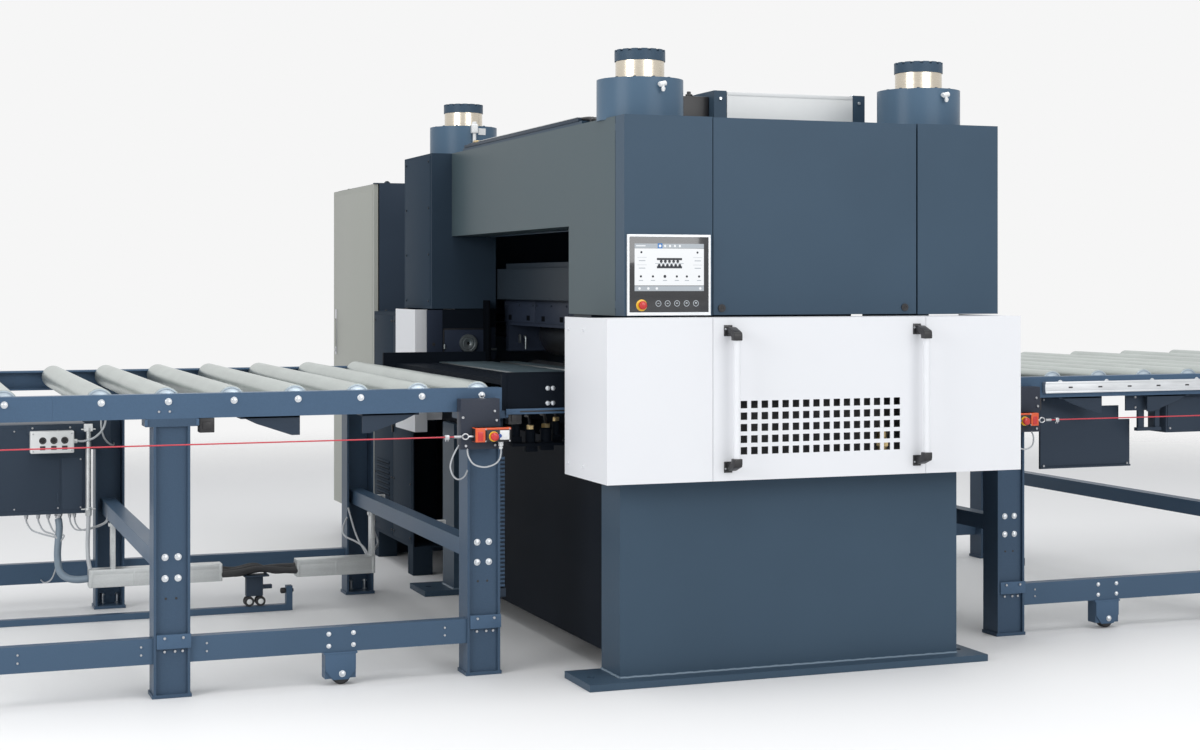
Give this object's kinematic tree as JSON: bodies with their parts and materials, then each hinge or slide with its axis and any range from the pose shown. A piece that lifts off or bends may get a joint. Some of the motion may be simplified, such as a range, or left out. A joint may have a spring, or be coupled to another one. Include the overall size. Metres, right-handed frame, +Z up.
{
  "type": "plate leveling machine",
  "caption": "Roller leveller for thick metal plate: portal with a pressed upper roll set, drive bay, control cabinet and roller tables for infeed and outfeed.",
  "frame": {"origin": "centre of the anchor bolt rectangle, on the floor", "axes": "+X is the feed direction, the operator stands on the -Y side, +Z up"},
  "size_m": [7.6273, 5.3143, 2.572],
  "materials": {
    "slate_paint": "satin textured powder coat",
    "dark_paint": "satin dark blue paint",
    "grey_paint": "satin grey paint",
    "white_paint": "satin white powder coat",
    "door_paint": "satin grey beige paint",
    "rod_metal": "ground and polished",
    "roll_steel": "ground",
    "zinc_steel": "galvanised",
    "bolt_zinc": "bright zinc",
    "black_plastic": "moulded",
    "red_plastic": "moulded",
    "orange_plastic": "die cast, painted",
    "cable_grey": "smooth"
  },
  "bodies": {
    "frame": {"base_plates": "slate_paint", "pedestals": "slate_paint", "bed": "dark_paint", "side_frames": "dark_paint", "lift_cylinders": "slate_paint", "front_housing": "grey_paint", "top_beam": "grey_paint", "rear_housing": "slate_paint", "front_covers": "slate_paint", "fixed_guards": "white_paint", "roof_unit": "slate_paint", "lower_cassette": "dark_paint", "drive_train": "dark_paint", "drive_housing": "dark_paint", "cabinet": "dark_paint", "hmi_panel": "black_plastic", "extension_rollers": "zinc_steel", "table_beams": "slate_paint", "table_legs": "slate_paint", "table_rails": "slate_paint", "table_bolts": "bolt_zinc", "stop_switches": "orange_plastic", "pull_wires": "red_plastic", "stop_leads": "cable_grey", "side_guides": "dark_paint", "table_services": "dark_paint"},
    "press": {"upper_carrier": "slate_paint", "piston_rods": "rod_metal", "rod_nuts": "slate_paint", "upper_cassette": "dark_paint"},
    "flap": {"service_flap": "slate_paint"},
    "lock_left": {"lock_left": "black_plastic"},
    "lock_right": {"lock_right": "black_plastic"},
    "centre_guard": {"centre_guard": "white_paint", "guard_handles": "black_plastic"},
    "door": {"cabinet_door": "door_paint"},
    "panel_stop": {"hmi_stop": "red_plastic"},
    "table_stop_in": {"stop_button_in": "red_plastic"},
    "table_stop_out": {"stop_button_out": "red_plastic"},
    "lower_roll_1": {"lower_roll_1": "roll_steel"},
    "lower_roll_2": {"lower_roll_2": "roll_steel"},
    "lower_roll_3": {"lower_roll_3": "roll_steel"},
    "lower_roll_4": {"lower_roll_4": "roll_steel"},
    "upper_roll_1": {"upper_roll_1": "roll_steel"},
    "upper_roll_2": {"upper_roll_2": "roll_steel"},
    "upper_roll_3": {"upper_roll_3": "roll_steel"},
    "infeed_roller_1": {"infeed_roller_1": "zinc_steel"},
    "infeed_roller_2": {"infeed_roller_2": "zinc_steel"},
    "infeed_roller_3": {"infeed_roller_3": "zinc_steel"},
    "infeed_roller_4": {"infeed_roller_4": "zinc_steel"},
    "infeed_roller_5": {"infeed_roller_5": "zinc_steel"},
    "infeed_roller_6": {"infeed_roller_6": "zinc_steel"},
    "infeed_roller_7": {"infeed_roller_7": "zinc_steel"},
    "outfeed_roller_1": {"outfeed_roller_1": "zinc_steel"},
    "outfeed_roller_2": {"outfeed_roller_2": "zinc_steel"},
    "outfeed_roller_3": {"outfeed_roller_3": "zinc_steel"},
    "outfeed_roller_4": {"outfeed_roller_4": "zinc_steel"},
    "outfeed_roller_5": {"outfeed_roller_5": "zinc_steel"},
    "outfeed_roller_6": {"outfeed_roller_6": "zinc_steel"},
    "outfeed_roller_7": {"outfeed_roller_7": "zinc_steel"}
  },
  "joints": [
    {"name": "press_travel", "type": "slide", "parent": "frame", "child": "press", "axis": [0, 0, 1], "range_m": [-0.02, 0.05]},
    {"name": "lower_roll_1_turn", "type": "hinge", "parent": "frame", "child": "lower_roll_1", "pos_m": [-0.271, 0.3145, 1.09], "axis": [0, 1, 0], "continuous": true},
    {"name": "lower_roll_2_turn", "type": "hinge", "parent": "frame", "child": "lower_roll_2", "pos_m": [-0.011, 0.3145, 1.09], "axis": [0, 1, 0], "continuous": true},
    {"name": "lower_roll_3_turn", "type": "hinge", "parent": "frame", "child": "lower_roll_3", "pos_m": [0.249, 0.3145, 1.09], "axis": [0, 1, 0], "continuous": true},
    {"name": "lower_roll_4_turn", "type": "hinge", "parent": "frame", "child": "lower_roll_4", "pos_m": [0.509, 0.3145, 1.09], "axis": [0, 1, 0], "continuous": true},
    {"name": "upper_roll_1_turn", "type": "hinge", "parent": "press", "child": "upper_roll_1", "pos_m": [-0.141, 0.3145, 1.335], "axis": [0, 1, 0], "continuous": true},
    {"name": "upper_roll_2_turn", "type": "hinge", "parent": "press", "child": "upper_roll_2", "pos_m": [0.119, 0.3145, 1.335], "axis": [0, 1, 0], "continuous": true},
    {"name": "upper_roll_3_turn", "type": "hinge", "parent": "press", "child": "upper_roll_3", "pos_m": [0.379, 0.3145, 1.335], "axis": [0, 1, 0], "continuous": true},
    {"name": "infeed_roller_1_turn", "type": "hinge", "parent": "frame", "child": "infeed_roller_1", "pos_m": [-1.199, 0.245, 1.146], "axis": [0, 1, 0], "continuous": true},
    {"name": "infeed_roller_2_turn", "type": "hinge", "parent": "frame", "child": "infeed_roller_2", "pos_m": [-1.4515, 0.245, 1.146], "axis": [0, 1, 0], "continuous": true},
    {"name": "infeed_roller_3_turn", "type": "hinge", "parent": "frame", "child": "infeed_roller_3", "pos_m": [-1.704, 0.245, 1.146], "axis": [0, 1, 0], "continuous": true},
    {"name": "infeed_roller_4_turn", "type": "hinge", "parent": "frame", "child": "infeed_roller_4", "pos_m": [-1.9565, 0.245, 1.146], "axis": [0, 1, 0], "continuous": true},
    {"name": "infeed_roller_5_turn", "type": "hinge", "parent": "frame", "child": "infeed_roller_5", "pos_m": [-2.209, 0.245, 1.146], "axis": [0, 1, 0], "continuous": true},
    {"name": "infeed_roller_6_turn", "type": "hinge", "parent": "frame", "child": "infeed_roller_6", "pos_m": [-2.4615, 0.245, 1.146], "axis": [0, 1, 0], "continuous": true},
    {"name": "infeed_roller_7_turn", "type": "hinge", "parent": "frame", "child": "infeed_roller_7", "pos_m": [-2.714, 0.245, 1.146], "axis": [0, 1, 0], "continuous": true},
    {"name": "outfeed_roller_1_turn", "type": "hinge", "parent": "frame", "child": "outfeed_roller_1", "pos_m": [1.323, 0.245, 1.146], "axis": [0, 1, 0], "continuous": true},
    {"name": "outfeed_roller_2_turn", "type": "hinge", "parent": "frame", "child": "outfeed_roller_2", "pos_m": [1.5755, 0.245, 1.146], "axis": [0, 1, 0], "continuous": true},
    {"name": "outfeed_roller_3_turn", "type": "hinge", "parent": "frame", "child": "outfeed_roller_3", "pos_m": [1.828, 0.245, 1.146], "axis": [0, 1, 0], "continuous": true},
    {"name": "outfeed_roller_4_turn", "type": "hinge", "parent": "frame", "child": "outfeed_roller_4", "pos_m": [2.0805, 0.245, 1.146], "axis": [0, 1, 0], "continuous": true},
    {"name": "outfeed_roller_5_turn", "type": "hinge", "parent": "frame", "child": "outfeed_roller_5", "pos_m": [2.333, 0.245, 1.146], "axis": [0, 1, 0], "continuous": true},
    {"name": "outfeed_roller_6_turn", "type": "hinge", "parent": "frame", "child": "outfeed_roller_6", "pos_m": [2.5855, 0.245, 1.146], "axis": [0, 1, 0], "continuous": true},
    {"name": "outfeed_roller_7_turn", "type": "hinge", "parent": "frame", "child": "outfeed_roller_7", "pos_m": [2.838, 0.245, 1.146], "axis": [0, 1, 0], "continuous": true},
    {"name": "flap_hinge", "type": "hinge", "parent": "frame", "child": "flap", "pos_m": [0.146, -1.247, 2.264], "axis": [-1, 0, 0], "range_deg": [0, 85]},
    {"name": "lock_left_turn", "type": "hinge", "parent": "flap", "child": "lock_left", "pos_m": [-0.287, -1.265, 1.502], "axis": [0, 1, 0], "range_deg": [0, 90]},
    {"name": "lock_right_turn", "type": "hinge", "parent": "flap", "child": "lock_right", "pos_m": [0.5605, -1.265, 1.502], "axis": [0, 1, 0], "range_deg": [0, 90]},
    {"name": "centre_guard_pull", "type": "slide", "parent": "frame", "child": "centre_guard", "axis": [0, -1, 0], "range_m": [0, 0.3]},
    {"name": "cabinet_door_hinge", "type": "hinge", "parent": "frame", "child": "door", "pos_m": [-0.761, 2.6933, 1.2], "axis": [0, 0, 1], "range_deg": [0, 110]},
    {"name": "panel_stop_press", "type": "slide", "parent": "frame", "child": "panel_stop", "axis": [0, 1, 0], "range_m": [0, 0.005], "stiffness_N_per_m": 1500},
    {"name": "table_stop_in_press", "type": "slide", "parent": "frame", "child": "table_stop_in", "axis": [0, 1, 0], "range_m": [0, 0.005], "stiffness_N_per_m": 1500},
    {"name": "table_stop_out_press", "type": "slide", "parent": "frame", "child": "table_stop_out", "axis": [0, 1, 0], "range_m": [0, 0.005], "stiffness_N_per_m": 1500}
  ],
  "couplings": [
    {"joint": "lower_roll_2_turn", "follows": "lower_roll_1_turn", "ratio": 1},
    {"joint": "lower_roll_3_turn", "follows": "lower_roll_1_turn", "ratio": 1},
    {"joint": "lower_roll_4_turn", "follows": "lower_roll_1_turn", "ratio": 1},
    {"joint": "upper_roll_1_turn", "follows": "lower_roll_1_turn", "ratio": -1},
    {"joint": "upper_roll_2_turn", "follows": "lower_roll_1_turn", "ratio": -1},
    {"joint": "upper_roll_3_turn", "follows": "lower_roll_1_turn", "ratio": -1}
  ]
}
